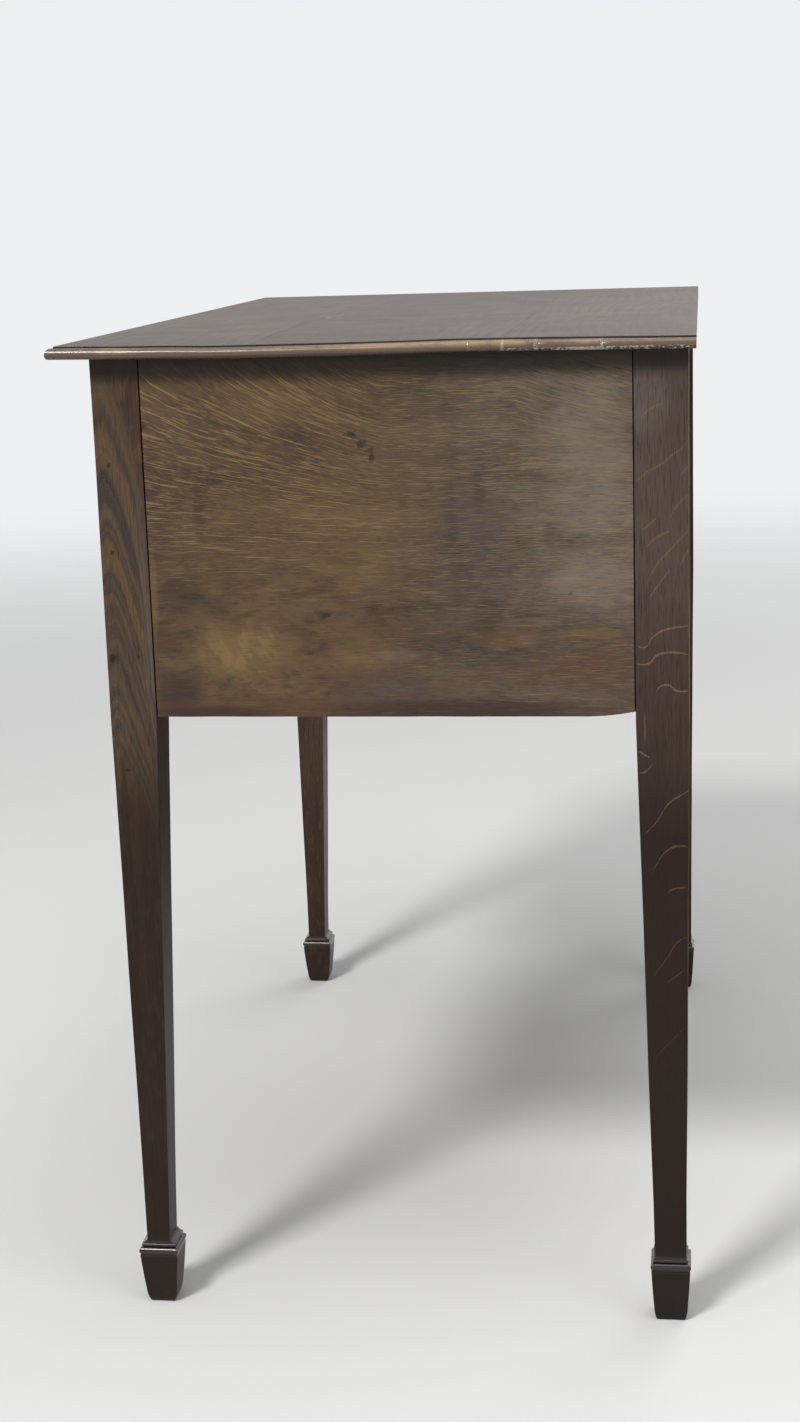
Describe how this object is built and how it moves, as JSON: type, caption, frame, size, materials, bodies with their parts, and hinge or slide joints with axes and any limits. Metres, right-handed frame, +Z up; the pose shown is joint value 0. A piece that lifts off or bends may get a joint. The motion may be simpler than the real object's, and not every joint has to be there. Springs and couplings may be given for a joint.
{
  "type": "lowboy",
  "caption": "Small oak side table with a long drawer above short drawers that flank an arched kneehole, on square tapered legs with spade feet.",
  "frame": {"origin": "centre of the footprint of the whole piece, on the floor", "axes": "+X along the length towards the end that the picture shows, -Y towards the drawers, +Z up"},
  "size_m": [0.776, 0.442, 0.72],
  "materials": {
    "oak_top": "dark waxed oak, satin",
    "oak_leg": "dark waxed oak, satin",
    "oak_panel": "dark waxed quarter-sawn oak, satin",
    "oak_front": "dark waxed quarter-sawn oak, satin",
    "oak_rail": "dark waxed oak, satin",
    "oak_lining": "bare aged oak, matt",
    "oak_inner": "bare aged oak, matt",
    "brass": "aged cast brass, worn bright on the high parts",
    "steel": "old iron screws"
  },
  "bodies": {
    "carcase": {"apron": "oak_rail", "back_board": "oak_inner", "bearer_left": "oak_inner", "bearer_right": "oak_inner", "bottom_rail_left": "oak_rail", "bottom_rail_right": "oak_rail", "drawer_stops": "oak_inner", "end_panel_left": "oak_panel", "end_panel_right": "oak_panel", "glue_blocks": "oak_inner", "kicker_left": "oak_inner", "kicker_right": "oak_inner", "leg_back_left": "oak_leg", "leg_back_right": "oak_leg", "leg_front_left": "oak_leg", "leg_front_right": "oak_leg", "long_runner_left": "oak_inner", "long_runner_right": "oak_inner", "mid_rail": "oak_rail", "muntin_left": "oak_rail", "muntin_right": "oak_rail", "partition_left": "oak_inner", "partition_right": "oak_inner", "short_runner_inner_left": "oak_inner", "short_runner_inner_right": "oak_inner", "short_runner_outer_left": "oak_inner", "short_runner_outer_right": "oak_inner", "top_board_back": "oak_top", "top_board_front": "oak_top", "top_board_middle": "oak_top", "top_rail": "oak_rail", "top_screws": "steel"},
    "long_drawer": {"long_drawer_back": "oak_lining", "long_drawer_bottom": "oak_lining", "long_drawer_front": "oak_front", "long_drawer_nuts": "brass", "long_drawer_plates": "brass", "long_drawer_posts": "brass", "long_drawer_side_left": "oak_lining", "long_drawer_side_right": "oak_lining"},
    "left_drawer": {"left_drawer_back": "oak_lining", "left_drawer_bottom": "oak_lining", "left_drawer_front": "oak_front", "left_drawer_nuts": "brass", "left_drawer_plates": "brass", "left_drawer_posts": "brass", "left_drawer_side_left": "oak_lining", "left_drawer_side_right": "oak_lining"},
    "right_drawer": {"right_drawer_back": "oak_lining", "right_drawer_bottom": "oak_lining", "right_drawer_front": "oak_front", "right_drawer_nuts": "brass", "right_drawer_plates": "brass", "right_drawer_posts": "brass", "right_drawer_side_left": "oak_lining", "right_drawer_side_right": "oak_lining"},
    "long_bail_left": {"long_drawer_bail_left": "brass"},
    "long_bail_right": {"long_drawer_bail_right": "brass"},
    "left_bail": {"left_drawer_bail": "brass"},
    "right_bail": {"right_drawer_bail": "brass"}
  },
  "joints": [
    {"name": "long_drawer_slide", "type": "slide", "parent": "carcase", "child": "long_drawer", "axis": [0, -1, 0], "range_m": [0, 0.26]},
    {"name": "left_drawer_slide", "type": "slide", "parent": "carcase", "child": "left_drawer", "axis": [0, -1, 0], "range_m": [0, 0.26]},
    {"name": "right_drawer_slide", "type": "slide", "parent": "carcase", "child": "right_drawer", "axis": [0, -1, 0], "range_m": [0, 0.26]},
    {"name": "long_bail_left_swing", "type": "hinge", "parent": "long_drawer", "child": "long_bail_left", "pos_m": [-0.205, -0.2055, 0.65955], "axis": [-1, 0, 0], "range_deg": [-10, 105]},
    {"name": "long_bail_right_swing", "type": "hinge", "parent": "long_drawer", "child": "long_bail_right", "pos_m": [0.205, -0.2055, 0.65955], "axis": [-1, 0, 0], "range_deg": [-10, 105]},
    {"name": "left_bail_swing", "type": "hinge", "parent": "left_drawer", "child": "left_bail", "pos_m": [-0.2325, -0.2055, 0.54005], "axis": [-1, 0, 0], "range_deg": [-10, 105]},
    {"name": "right_bail_swing", "type": "hinge", "parent": "right_drawer", "child": "right_bail", "pos_m": [0.2325, -0.2055, 0.54005], "axis": [-1, 0, 0], "range_deg": [-10, 105]}
  ]
}
